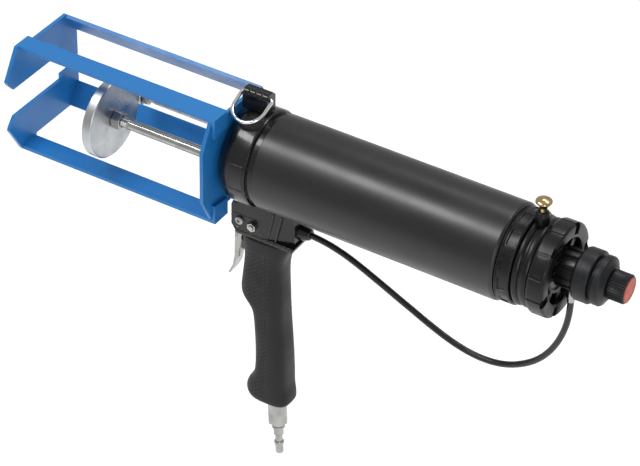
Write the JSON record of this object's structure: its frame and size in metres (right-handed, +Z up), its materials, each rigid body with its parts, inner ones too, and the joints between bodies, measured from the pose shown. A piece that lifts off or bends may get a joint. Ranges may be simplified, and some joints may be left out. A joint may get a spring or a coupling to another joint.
{
  "type": "pneumatic caulking gun",
  "caption": "Pneumatic two-cartridge caulking gun: blue sheet-steel cradle, black air cylinder, pistol grip with lever trigger, air hose and regulator.",
  "frame": {"origin": "on the air cylinder's axis, at the front face of the back plate that the cartridges seat against", "axes": "+X runs back along the air cylinder, away from the nozzles; +Z is up, away from the grip; -Y is the side the hang ring swings over"},
  "size_m": [0.5121, 0.0932, 0.3455],
  "materials": {
    "blue_paint": "satin powder coat, bright where edges rub",
    "gloss_black": "glossy black paint on castings",
    "satin_black": "satin black coating on the cylinder tube",
    "black_plastic": "semi-gloss moulded plastic",
    "grip_plastic": "matte moulded plastic with a stippled panel",
    "machined_aluminium": "fine turned",
    "zinc_steel": "bright zinc plate",
    "chrome": "polished chrome plate",
    "spring_steel": "plain spring wire",
    "brass": "polished brass",
    "rubber": "smooth black rubber",
    "red_plastic": "orange-red cap"
  },
  "bodies": {
    "frame": {"cradle": "blue_paint", "back_plate": "blue_paint", "front_housing": "gloss_black", "main_rod_seal": "rubber", "small_rod_seal": "rubber", "hang_lug": "gloss_black", "barrel_tube": "satin_black", "window_ring": "black_plastic", "bead_ring": "black_plastic", "lock_ring": "black_plastic", "end_cap": "black_plastic", "end_cap_seal": "rubber", "bleed_collar": "black_plastic", "bleed_spring": "spring_steel", "regulator_body": "black_plastic", "regulator_collar": "black_plastic", "gauge_ring": "black_plastic", "regulator_spring": "spring_steel", "handle_head": "gloss_black", "handle_screw": "zinc_steel", "handle_bolt": "zinc_steel", "handle_nut": "zinc_steel", "grip": "grip_plastic", "trigger_pin": "zinc_steel", "valve_body": "brass", "valve_spring": "spring_steel", "inlet_adapter": "zinc_steel", "inlet_nipple": "zinc_steel", "air_hose": "rubber", "handle_hose_fitting": "brass", "regulator_hose_fitting": "zinc_steel"},
    "plunger": {"main_disc": "machined_aluminium", "main_rod": "zinc_steel", "main_disc_nut": "zinc_steel", "main_piston_nut": "zinc_steel", "small_disc": "machined_aluminium", "small_rod": "zinc_steel", "small_disc_nut": "zinc_steel", "small_piston_nut": "zinc_steel", "piston": "machined_aluminium", "piston_seal": "rubber"},
    "trigger": {"trigger": "zinc_steel"},
    "valve": {"valve_stem": "zinc_steel"},
    "bleed": {"bleed_button": "brass"},
    "adjuster": {"adjust_knob": "black_plastic", "red_cap": "red_plastic", "regulator_spindle": "brass"},
    "hang_ring": {"hang_ring": "chrome"}
  },
  "joints": [
    {"name": "plunger_slide", "type": "slide", "parent": "frame", "child": "plunger", "axis": [-1, 0, 0], "range_m": [-0.088, 0.065]},
    {"name": "trigger_hinge", "type": "hinge", "parent": "frame", "child": "trigger", "pos_m": [0.009, 0, -0.063], "axis": [0, -1, 0], "range_deg": [0, 8], "stiffness_Nm_per_rad": 2},
    {"name": "valve_slide", "type": "slide", "parent": "frame", "child": "valve", "axis": [1, 0, 0], "range_m": [0, 0.003], "stiffness_N_per_m": 1, "deforming": ["valve_spring"]},
    {"name": "bleed_press", "type": "slide", "parent": "frame", "child": "bleed", "axis": [0, 0, -1], "range_m": [0, 0.003], "stiffness_N_per_m": 500, "deforming": ["bleed_spring"]},
    {"name": "regulator_turn", "type": "hinge", "parent": "frame", "child": "adjuster", "pos_m": [0.3266, 0, 0.0045], "axis": [1, 0, 0], "range_deg": [-540, 540]},
    {"name": "hang_ring_swing", "type": "hinge", "parent": "frame", "child": "hang_ring", "pos_m": [0.0175, 0.002, 0.052], "axis": [-1, 0, 0], "range_deg": [-10, 200]}
  ],
  "couplings": [
    {"joint": "valve_slide", "follows": "trigger_hinge", "m_per_rad": 0.021}
  ]
}
